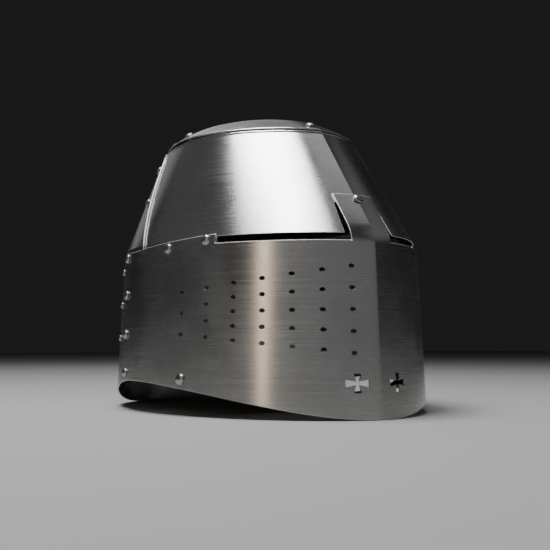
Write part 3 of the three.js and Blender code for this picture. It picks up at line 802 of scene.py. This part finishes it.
def brow_outline():
    end = UPPER_SEAM[1] + SEAM_LAP
    outline = [(-a, LAP_BOTTOM) for a in sweep(end, SIGHT["end"])]
    outline += [(-SIGHT["end"], z) for z in sweep(LAP_BOTTOM + 3, SIGHT["top"], 3)]
    low, high = (slot_angle(z) for z in (SIGHT["top"], NASAL_SLOT["top"]))
    outline += [(-a, SIGHT["top"]) for a in sweep(SIGHT["end"] - 1.5, low)]
    heights = sweep(SIGHT["top"] + 2, NASAL_SLOT["top"], 3)
    outline += [(-slot_angle(z), z) for z in heights]
    mirrored = [(-a, z) for a, z in reversed(outline)]
    outline += [(a, NASAL_SLOT["top"]) for a in sweep(-high + 1.5, high - 1.5)]
    outline += mirrored
    outline += [(end, z) for z in sweep(LAP_BOTTOM + 6, FLANGE_END - 6, 6)]
    outline += [(a, FLANGE_END) for a in sweep(end, -end)]
    return outline + [(-end, z) for z in sweep(FLANGE_END - 6, LAP_BOTTOM + 6, 6)]


def slot_angle(z):
    """Half angle of the opening behind the nasal at a height."""
    k = (z - SIGHT["top"]) / (NASAL_SLOT["top"] - SIGHT["top"])
    half = mix(NASAL_SLOT["low"], NASAL_SLOT["high"], k)
    return math.degrees(math.asin(half / float(cone_section(float(z))[0])))


def upper_back_outline():
    start = UPPER_SEAM[0]
    outline = [(a, LAP_BOTTOM) for a in sweep(start, 360 - start)]
    right = [(360 - float(upper_seam(z)), z) for z in sweep(LAP_BOTTOM + 5, FLANGE_END, 4)]
    outline += right
    end = UPPER_SEAM[1]
    outline += [(a, FLANGE_END) for a in sweep(360 - end - 1.6, end + 1.6)]
    return outline + [(360 - a, z) for a, z in reversed(right)]


def level_line(start, end, z):
    return [(a, z) for a in sweep(start, end)]


def ridge_line(low, high):
    return [(0, z) for z in sweep(low, high, 1.5)]


def fold_lines(start, end, top):
    """The bends at the top of the cone, and the break at its foot."""
    heights = [BREAK["z"]] + [top - FOLD + 2 * FOLD * k / 6 for k in range(7)]
    return [level_line(start, end, z) for z in heights]


def add_plate(node, surface, outline, holes=(), creases=(), **grid):
    piece, filed = plate(node + "_fine", surface, outline, holes, creases, **grid)
    finish_piece(piece, STEEL, nodes=[node])
    piece.data.materials.append(CUT_STEEL)
    for face in piece.data.polygons[filed]:
        face.material_index = 1


def make_plates():
    holes = breath_holes() + [cross_hole(-CROSS["angle"]), cross_hole(CROSS["angle"])]
    add_plate("face_plate", face_surface, face_outline(), holes, [ridge_line(0, NASAL["top"])])
    add_plate("lower_back_plate", lower_back_surface, lower_back_outline())

    cone = dict(along=2.0, step=(4.2, 12.0))
    end = UPPER_SEAM[1] + SEAM_LAP
    ridge = [ridge_line(NASAL_SLOT["top"], CROWN["z"] - FOLD), ridge_line(CROWN["z"] + FOLD, FLANGE_END)]
    creases = ridge + fold_lines(-end, end, CROWN["z"])
    add_plate("brow_plate", brow_surface, brow_outline(), creases=creases, **cone)
    creases = fold_lines(UPPER_SEAM[0], 360 - UPPER_SEAM[0], CROWN["z"] + LAYER)
    add_plate("upper_back_plate", upper_back_surface, upper_back_outline(), creases=creases, **cone)
    finish_piece(crown_plate(), STEEL, nodes=["crown_plate"])


def crown_plate():
    """The dome: rings from the middle to the edge and back underneath, closed by a point at each end."""
    around = 180
    rim = 0.01  # the crown's edge, as a share of the way in
    angles = np.linspace(0, 360, around, endpoint=False)
    angles = np.where(angles > 180, angles - 360, angles)

    def ring(inset, depth):
        return crown_surface(angles, np.full(around, inset), depth)

    insets = [rim + EDGE / 100] + list(np.linspace(0.02, 0.985, 34))
    stack = [ring(inset, 0.0) for inset in reversed(insets)]
    stack += [ring(rim, EDGE), ring(rim, SHEET - EDGE)]
    stack += [ring(inset, SHEET) for inset in insets]
    points = np.concatenate(stack + [crown_surface(np.zeros(1), np.ones(1), d) for d in (0.0, SHEET)])
    faces = ring_quads(len(stack), around)
    last = (len(stack) - 1) * around
    top, bottom = len(stack) * around, len(stack) * around + 1
    for i in range(around):
        j = (i + 1) % around
        faces += [(top, i, j), (bottom, last + j, last + i)]
    uv = [points[v][:2] * MM for face in faces for v in face]
    return new_object("crown_plate_fine", points, faces, None, uv)


make_plates()

# ---- rivets
RIVET = dict(head=4.5, rise=2.6, shank=2, tail=3.2, tail_rise=1)
SMALL_RIVET = dict(head=3.2, rise=1.9, shank=1.5, tail=2.4, tail_rise=0.8)
CHIN_RIVET = {**RIVET, "head": 4.8, "tail": 4.4}
RIVET_PLAY = 0.6  # from the last layer to the hammered tail
HEAD_STEP = 0.22  # height of the head's upright edge

SEAM_RIVET_HEIGHTS = (34.7, 70.1, 106.9, 142)
FACE_EDGE_RIVETS = (("front", 57.3, 149), ("rear", 72.4, 144.5))
BACK_LAP = dict(angle=110, heights=(67, 99, 131))
BACK_EDGE = dict(z=142, outer=128, inner=154, middle=180)
LOWER_SEAM_INSET = 3.8  # degrees from a seam's edge to its rivets
UPPER_SEAM_INSET = 3.4
CONE_RIVET_HEIGHTS = dict(lower=199.5, upper=237)
NASAL_RIVET = dict(angle=0.5, z=184)
CROWN_RIVETS = dict(inset=0.09, front=-3, side=92, seam=116, rear=146, back=180, gap=1.2)

LINER_DEPTH = LINER["thick"] - LINER["out"]
STRAP = dict(wide=18, thick=2.6, sag=18, under=5.8, angle=65.2, z=31.3, standoff=9, tip=62, power=2.6)
STRAP_PLAY = 5.2  # room on the chin rivet behind the strap, for its swing


def rivet_mesh(name, matrix, stack, shape):
    """A domed head over a faint shadow line, a shank, and a tail hammered flat inside."""
    head, rise, shank, tail = shape["head"], shape["rise"], shape["shank"], shape["tail"]
    foot = -stack - RIVET_PLAY
    profile = [(shank, foot), (tail, foot), (tail * 0.96, foot - shape["tail_rise"] * 0.5)]
    profile += [(tail * 0.6, foot - shape["tail_rise"] * 0.92), (0, foot - shape["tail_rise"])]
    profile = profile[::-1] + [(shank, GAP), (head * 0.97, GAP), (head, GAP + HEAD_STEP)]
    for t in (math.pi / 2 * i / 9 for i in range(1, 10)):
        profile.append((head * math.cos(t), GAP + HEAD_STEP + (rise - HEAD_STEP) * math.sin(t)))
    around = 28
    points = []
    for r, h in profile:
        points += [tuple(matrix @ Vector((x, y, h))) for x, y in circle(max(r, 1e-4), around)]
    faces = [(a, d, c, b) for a, b, c, d in ring_quads(len(profile), around)]
    faces.append(tuple(reversed(range(around))))
    faces.append(tuple(range((len(profile) - 1) * around, len(profile) * around)))
    uv = [(k * 0.001, k * 0.0013) for face in faces for k in face]  # no two corners alike
    return new_object(name, points, faces, None, uv)


def add_rivet(node, surface, angle, height, stack, shape=RIVET):
    piece = rivet_mesh(node + "_fine", surface_frame(surface, angle, height), stack, shape)
    finish_piece(piece, RIVET_STEEL, nodes=[node])


def add_rivet_pair(node, surface, angle, height, stack, shape=RIVET):
    add_rivet(node + "_right", surface, -angle, height, stack, shape)
    add_rivet(node + "_left", surface, angle, height, stack, shape)


def cone_rivet_angle(z):
    return float(upper_seam(z)) + UPPER_SEAM_INSET


def make_rivets():
    two_sheets = 2 * LAYER - GAP
    for i, z in enumerate(SEAM_RIVET_HEIGHTS):
        stack = (4 if i == 3 else 2) * LAYER - GAP
        angle = float(lower_seam(z)) - LOWER_SEAM_INSET
        add_rivet_pair(f"side_seam_rivet_{i + 1}", face_surface, angle, z, stack)
    for name, angle, z in FACE_EDGE_RIVETS:
        add_rivet_pair("face_edge_rivet_" + name, face_surface, angle, z, float(face_out(angle)) + SHEET)
    for i, z in enumerate(BACK_LAP["heights"]):
        name = f"back_lap_rivet_{i + 1}"
        add_rivet_pair(name, lower_back_surface, BACK_LAP["angle"], z, SHEET, SMALL_RIVET)
    for name, add in (("outer", add_rivet_pair), ("inner", add_rivet_pair), ("middle", add_rivet)):
        add("back_edge_rivet_" + name, lower_back_surface, BACK_EDGE[name], BACK_EDGE["z"], two_sheets)
    for name, stack in (("lower", LAYER + LINER_DEPTH), ("upper", two_sheets)):
        z = CONE_RIVET_HEIGHTS[name]
        add_rivet_pair("cone_seam_rivet_" + name, upper_back_surface, cone_rivet_angle(z), z, stack)
    add_rivet("nasal_rivet", face_surface, NASAL_RIVET["angle"], NASAL_RIVET["z"], LAYER + LINER_DEPTH)
    over_back = 2 * LAYER + CROWN_RIVETS["gap"]
    over_brow = LAYER + SHEET + CROWN_RIVETS["gap"]
    for name, add, stack in (
        ("front", add_rivet, over_brow),
        ("side", add_rivet_pair, over_back),
        ("seam", add_rivet_pair, over_back + LAYER),
        ("rear", add_rivet_pair, over_back),
        ("back", add_rivet, over_back),
    ):
        add("crown_rivet_" + name, crown_surface, CROWN_RIVETS[name], CROWN_RIVETS["inset"], stack)
    grip = SHEET + STRAP["standoff"] + STRAP["thick"] / 2 + STRAP_PLAY
    add_rivet_pair("chin_strap_rivet", face_surface, STRAP["angle"], STRAP["z"], grip, CHIN_RIVET)


make_rivets()


# ---- liner
LEAF = dict(behind=3.4, foot=187, shoulder=228, rise=12, tip_reach=0.2, gap=8)
PAD = dict(side_hem=9, end_hem=16, groove=0.62, groove_wide=0.09, full=0.48)
LACE = dict(radius=24, tube=1.6, lift=2.2, strand=0.85, turns=38)


def ring_frames(z, out, count=180):
    """Places and axes round the inside of the cone at a height: outwards and up the wall."""
    angles = np.linspace(0, 360, count, endpoint=False)
    centres = shell_point(angles, z + 0 * angles, out)
    ups = shell_point(angles, z + 1 + 0 * angles, out) - centres
    ahead = np.roll(centres, -1, 0) - np.roll(centres, 1, 0)
    ups = unit(ups)
    return centres, unit(np.cross(ahead, ups)), ups


BAND_STITCH = dict(rise=11.4, count=150, long=2.9)


def make_liner_band():
    z = (LINER["bottom"] + LINER["top"]) / 2
    centres, sides, ups = ring_frames(z, LINER["out"] - LINER["thick"] / 2)
    profile = rounded_box(LINER["thick"], LINER["top"] - LINER["bottom"], 0.9)
    band = swept("liner_band_fine", centres, sides, ups, profile, True)
    low = CONE_RIVET_HEIGHTS["lower"]
    seam = cone_rivet_angle(low)
    cutters = []
    for angle, height in ((-seam, low), (seam, low), (NASAL_RIVET["angle"], NASAL_RIVET["z"])):
        place = surface_frame(brow_surface, angle, height)
        cutters.append(punch(place @ Vector((0, 0, -14)), place.col[2].to_3d(), RIVET["shank"] + 0.3, 16))
    cut(band, cutters)
    finish_piece(band, LEATHER, nodes=["liner_band"])
    for name, hand in (("low", -1), ("high", 1)):
        spots, normals, _ = ring_frames(
            z + hand * BAND_STITCH["rise"], LINER["out"] - LINER["thick"], BAND_STITCH["count"]
        )
        along = np.roll(spots, -1, 0) - spots
        stitches = bead_row("liner_band_stitches_" + name, spots, along, normals, BAND_STITCH["long"])
        finish_piece(stitches, THREAD)


def leaf_point(angle, v, side):
    """The CAD leaf's surface: up the wall, then in towards the middle of the crown."""
    inset = LINER["out"] - LINER["thick"] - LEAF["behind"] - LINER["pad_thick"]
    climb = np.minimum(v * 2, 1)
    turn = np.maximum(v * 2 - 1, 0)
    wall = mix(LEAF["foot"], LEAF["shoulder"], climb)
    point = shell_point(angle, wall, inset - 3 * climb + LINER["pad_thick"] * side * (1 - turn))
    reach = mix(1, LEAF["tip_reach"], turn)
    x = point[..., 0] * reach
    y = DOME_MIDDLE_Y + (point[..., 1] - DOME_MIDDLE_Y) * reach
    z = wall + LEAF["rise"] * np.sin(turn * math.pi / 2) + turn * LINER["pad_thick"] * side
    return np.stack([x, y, z], -1)


def make_liner_pad(number):
    """A quilted linen leaf: full between its sewn channels and thin at its hem."""
    columns, rows, channels = 40, 72, 5
    half = 180 / LINER["pads"] - LEAF["gap"] / 2
    middle = (number + 0.5) * 360 / LINER["pads"]
    u, v = np.meshgrid(np.linspace(0, 1, columns + 1), np.linspace(0, 1, rows + 1))
    hem = np.minimum(np.minimum(u, 1 - u) * PAD["side_hem"], np.minimum(v, 1 - v) * PAD["end_hem"])
    puff = np.sqrt(np.clip(1 - (1 - np.clip(hem, 0, 1)) ** 2, 0, 1))
    seam = np.abs((u * channels + 0.5) % 1 - 0.5)
    seam = np.where((u < 0.5 / channels) | (u > 1 - 0.5 / channels), 1, seam)
    puff = puff * (1 - PAD["groove"] * np.exp(-((seam / PAD["groove_wide"]) ** 2)))
    angle = middle + (2 * u - 1) * half
    outer = leaf_point(angle, v, 0.5 + PAD["full"] * puff)
    inner = leaf_point(angle, v, 0.5 - PAD["full"] * puff)
    n = outer[..., 0].size
    faces = []
    for j in range(rows):
        for i in range(columns):
            a = j * (columns + 1) + i
            quad = (a, a + 1, a + columns + 2, a + columns + 1)
            faces.append(quad)
            faces.append(tuple(n + k for k in reversed(quad)))
    points = np.concatenate([outer.reshape(-1, 3), inner.reshape(-1, 3)])
    pad = new_object(f"liner_pad_{number + 1}_fine", points, faces)
    face_outwards(pad, 0.05)
    finish_piece(pad, LINEN, nodes=[f"liner_pad_{number + 1}"])


def make_lace():
    """Two strands twisted round each other, in a ring above the pads' tips."""
    z = LEAF["shoulder"] + LEAF["rise"] + LINER["pad_thick"] + LACE["lift"]
    count = 720
    t = np.linspace(0, 2 * math.pi, count, endpoint=False)
    outwards = np.stack([np.cos(t), np.sin(t), 0 * t], -1)
    up = np.array([0.0, 0.0, 1.0])
    middle = outwards * LACE["radius"] + np.array([0, DOME_MIDDLE_Y, z])
    offset = LACE["tube"] - LACE["strand"]
    strands = []
    for phase in (0, math.pi):
        twist = (t * LACE["turns"] + phase)[:, None]
        centres = middle + offset * (np.cos(twist) * outwards + np.sin(twist) * up)
        ups = np.repeat(up[None], count, 0)
        strands.append(swept("strand", centres, outwards, ups, circle(LACE["strand"], 8), True))
    lace = join("liner_lace_fine", strands)
    finish_piece(lace, THREAD, nodes=["liner_lace"])


def join(name, parts):
    """One object out of several."""
    mesh = bmesh.new()
    for part in parts:
        mesh.from_mesh(part.data)
        bpy.data.objects.remove(part)
    data = bpy.data.meshes.new(name)
    mesh.to_mesh(data)
    mesh.free()
    return add_object(name, data)


make_liner_band()
for pad_number in range(LINER["pads"]):
    make_liner_pad(pad_number)
make_lace()

# ---- chin strap and buckle
STRAP_END_RISE = 7
STRAP_EYE = 4
STRAP_WORN = 0.8  # rounding of the strap's edges
SEWING = dict(first=16, pitch=4.2, inset=2.4, long=3.0)
PUNCH = dict(count=4, pitch=12, first=-22, radius=1.4)
BUCKLE = dict(x=24, front=3, wide=27, stock=2.6, eye=2.1, wall=1.9)
KEEPER = dict(x=42, long=7, stock=1.6, wide=1.2, high=3)
PRONG = dict(wide=2.4, thick=1.5)
TONGUE = dict(length=8, slot=5)
PIVOT = surface_frame(face_surface, STRAP["angle"], STRAP["z"]) @ Vector((0, 0, -SHEET - STRAP["standoff"]))


def strap_height(x, under):
    k = np.minimum(np.abs(x) / PIVOT.x, 1)
    fade = smooth(x, -0.9 * PIVOT.x, -0.3 * PIVOT.x)
    hang = STRAP["sag"] * (1 - k ** STRAP["power"]) ** (1 / STRAP["power"])
    return PIVOT.z - hang - under * fade


def strap_path(hand, end, under, steps=110):
    """The strap's middle line from above its rivet to x = end, with its normals."""
    start = hand * PIVOT.x
    turns = np.linspace(0, 1, steps + 1) * math.acos(end / start)
    x = np.concatenate([np.full(8, start), start * np.cos(turns)])
    above = PIVOT.z + np.linspace(STRAP_END_RISE, 0.6, 8)
    z = np.concatenate([above, strap_height(start * np.cos(turns), under)])
    line = np.stack([x, np.full_like(x, PIVOT.y), z], -1)
    return line, *ribbon_axes(line)


def strap_profiles(line, wide, round_end):
    """Cross sections with worn edges; the strap is round about its rivet, and at its tip if it has one."""
    run = run_lengths(line)
    profiles = []
    for t in run:
        half = wide / 2
        for along in (t, run[-1] - t) if round_end else (t,):
            if along < wide / 2:
                half = min(half, math.sqrt(max((wide / 2) ** 2 - (wide / 2 - along) ** 2, 1.6)))
        profiles.append(rounded_box(2 * half, STRAP["thick"], STRAP_WORN))
    return profiles


def strap_stitches(name, path, wide, last):
    """Two rows of stitches on both faces of a strap, up to a distance from its end."""
    line, ahead, sides, ups = path
    run = run_lengths(line)
    spots, alongs, normals = [], [], []
    for at in np.arange(SEWING["first"], run[-1] - last, SEWING["pitch"]):
        centre, along, up = (
            np.array([np.interp(at, run, part[:, k]) for k in range(3)]) for part in (line, ahead, ups)
        )
        for edge in (-1, 1):
            for face in (-1, 1):
                across = edge * (wide / 2 - SEWING["inset"]) * sides[0]
                spots.append(centre + across + face * STRAP["thick"] / 2 * up)
                alongs.append(along)
                normals.append(up)
    stitches = bead_row(name, spots, alongs, normals, SEWING["long"])
    finish_piece(stitches, THREAD, "chin_strap")


def rivet_eye(hand):
    return punch((hand * PIVOT.x - 10, PIVOT.y, PIVOT.z), (1, 0, 0), STRAP_EYE, 20)


def make_tip_strap():
    path = strap_path(-1, STRAP["tip"], STRAP["under"])
    line, _, sides, ups = path
    wide = STRAP["wide"] - 1
    strap = swept("chin_strap_tip_side_fine", line, sides, ups, strap_profiles(line, wide, True))
    spots = [PUNCH["first"] + i * PUNCH["pitch"] for i in range(PUNCH["count"])]
    punches = [punch((x, PIVOT.y, -4), (0, 0, 1), PUNCH["radius"], 30) for x in spots]
    cut(strap, [rivet_eye(-1)] + punches)
    finish_piece(strap, LEATHER, "chin_strap", ["chin_strap_tip_side"])
    strap_stitches("tip_side_stitches", path, wide, 10)


def make_buckle_strap():
    """The buckle's side: it forks into two tongues that wrap the buckle's bar, beside the prong."""
    path = strap_path(1, BUCKLE["x"] + TONGUE["length"], 0)
    line, _, sides, ups = path
    wide = STRAP["wide"]
    main = swept("main", line, sides, ups, strap_profiles(line, wide, False))
    cut(main, [rivet_eye(1)])
    bar = np.array([BUCKLE["x"], PIVOT.y, float(strap_height(BUCKLE["x"], 0))])
    radius = BUCKLE["eye"] + BUCKLE["wall"] / 2
    parts = [main]
    tongue_wide = (wide - TONGUE["slot"]) / 2
    for hand in (-1, 1):
        bend = [line[-1] + [0.8, 0, 0]]
        turns = np.radians(np.linspace(90, 350, 22))
        bend += [bar + radius * np.array([math.cos(t), 0, math.sin(t)]) for t in turns]
        bend = np.array(bend) + [0, hand * (wide - tongue_wide) / 2, 0]
        _, across, off = ribbon_axes(bend)
        thick = np.linspace(STRAP["thick"], BUCKLE["wall"] - 0.1, 4).tolist()
        profiles = [rounded_box(tongue_wide, thick[min(i, 3)], 0.6) for i in range(len(bend))]
        parts.append(swept("tongue", bend, across, off, profiles))
    strap = join("chin_strap_buckle_side_fine", parts)
    finish_piece(strap, LEATHER, "chin_strap", ["chin_strap_buckle_side"])
    strap_stitches("buckle_side_stitches", path, wide, 4)


def loop_path(half_a, half_b, radius, axis_a, axis_b, centre):
    """A rounded rectangle as a closed path in the plane of two axes, with outward directions."""
    loop = np.array(rounded_box(2 * half_a, 2 * half_b, radius, 6))
    axis_a, axis_b = np.array(axis_a, float), np.array(axis_b, float)
    path = np.array(centre) + loop[:, :1] * axis_a + loop[:, 1:] * axis_b
    ahead = np.roll(path, -1, 0) - np.roll(path, 1, 0)
    across = np.cross(axis_a, axis_b)
    return path, unit(np.cross(ahead, across)), np.repeat(across[None], len(path), 0)


def make_keeper():
    middle = float(strap_height(KEEPER["x"], 0) + strap_height(KEEPER["x"], STRAP["under"])) / 2
    half_wide = (STRAP["wide"] + KEEPER["wide"] + KEEPER["stock"]) / 2
    half_high = (STRAP["under"] + STRAP["thick"] + KEEPER["high"] + KEEPER["stock"]) / 2
    centre = (KEEPER["x"], PIVOT.y, middle)
    path, out, across = loop_path(half_wide, half_high, 2.2, (0, 1, 0), (0, 0, 1), centre)
    profile = rounded_box(KEEPER["stock"], KEEPER["long"], 0.6)
    keeper = swept("strap_keeper_fine", path, out, across, profile, True)
    finish_piece(keeper, LEATHER, "chin_strap", ["strap_keeper"])


def make_buckle():
    height = float(strap_height(BUCKLE["x"], 0))
    stock = BUCKLE["stock"]
    middle = ((BUCKLE["front"] + stock / 2 + BUCKLE["x"]) / 2, PIVOT.y, height)
    half_long = (BUCKLE["x"] - BUCKLE["front"] - stock / 2) / 2
    half_wide = (BUCKLE["wide"] - stock) / 2
    path, out, across = loop_path(half_long, half_wide, 2.4, (1, 0, 0), (0, 1, 0), middle)
    frame_piece = swept("buckle_frame_fine", path, out, across, circle(stock / 2, 12), True)
    finish_piece(frame_piece, BRASS, "buckle_frame", ["buckle_frame"])

    bar = np.array([BUCKLE["x"], PIVOT.y, height])
    radius = stock / 2 + 0.15 + PRONG["thick"] / 2
    turns = np.radians(np.linspace(-150, 90, 20))
    path = [bar + radius * np.array([math.cos(t), 0, math.sin(t)]) for t in turns]
    reach = np.linspace(1.5, BUCKLE["x"] - BUCKLE["front"] + 0.6, 14)
    path += [bar + np.array([-x, 0, radius + 0.25 * math.sin(x / reach[-1] * math.pi)]) for x in reach]
    path = np.array(path)
    _, across, off = ribbon_axes(path)
    taper = np.interp(np.arange(len(path)), [0, 20, len(path) - 3, len(path) - 1], [1, 1, 0.75, 0.4])
    profiles = [rounded_box(PRONG["wide"] * k, PRONG["thick"] * (0.5 + 0.5 * k), 0.35) for k in taper]
    prong = swept("buckle_prong_fine", path, across, off, profiles)
    finish_piece(prong, BRASS, "buckle_prong", ["buckle_prong"])


make_tip_strap()
make_buckle_strap()
make_keeper()
make_buckle()


# ---- camera, floor and lights
CAMERA = dict(x=-444.7, y=-785.7, z=60.4, ahead=(0.5015, 0.8617, 0.0767), lens=59.45)
FLOOR_HALF = 6000
AIM_HEIGHT = 130


def make_camera():
    camera = add_object("camera", bpy.data.cameras.new("camera"))
    camera.location = Vector((CAMERA["x"], CAMERA["y"] + SHIFT_Y, CAMERA["z"])) * MM
    camera.rotation_euler = Vector(CAMERA["ahead"]).to_track_quat("-Z", "Y").to_euler()
    camera.data.sensor_width = 36
    camera.data.lens = CAMERA["lens"]
    camera.data.clip_start = 0.01
    camera.data.clip_end = 50
    bpy.context.scene.camera = camera


def make_floor():
    corners = ((-1, -1), (1, -1), (1, 1), (-1, 1))
    points = [(x * FLOOR_HALF, y * FLOOR_HALF, 0) for x, y in corners]
    floor = new_object("floor", points, [(0, 1, 2, 3)])
    floor.data.materials.append(new_material("floor_paper", (0.37, 0.37, 0.365), 0.0, 0.85)[0])


def area_light(name, azimuth, elevation, distance, size, power, colour=(1, 1, 1)):
    """A soft box at an azimuth and elevation from the helm: 0 is its front, and 90 the wearer's left."""
    light = bpy.data.lights.new(name, "AREA")
    light.shape = "RECTANGLE"
    light.size, light.size_y = size[0] * MM, size[1] * MM
    light.energy = power
    light.color = colour
    piece = add_object(name, light)
    a, e = math.radians(azimuth), math.radians(elevation)
    direction = Vector((math.sin(a) * math.cos(e), -math.cos(a) * math.cos(e), math.sin(e)))
    piece.location = (Vector((0, 0, AIM_HEIGHT)) + direction * distance) * MM
    piece.rotation_euler = direction.to_track_quat("Z", "Y").to_euler()
    piece.visible_camera = False


def make_world(colour, strength):
    world = bpy.data.worlds.new("studio")
    world.use_nodes = True
    background = world.node_tree.nodes["Background"]
    background.inputs["Color"].default_value = (*colour, 1)
    background.inputs["Strength"].default_value = strength
    bpy.context.scene.world = world


make_camera()
make_floor()
make_world((0.014, 0.014, 0.015), 1.0)
area_light("overhead_soft_box", -80, 75.5, 1500, (850, 840), 38)
area_light("overhead_fill", 90, 70, 1500, (850, 500), 0.9)
area_light("front_panel", -20, 17, 1800, (3300, 900), 1.6)
area_light("warm_strip", -64, 14, 1600, (110, 850), 1.4, (1.0, 0.8, 0.62))
area_light("right_panel", -122, 28, 1800, (2400, 1100), 0.5)
area_light("rear_panel", 170, 40, 1800, (1300, 1900), 1.8)
area_light("left_panel", 62, 38, 1800, (2100, 1000), 0.9)
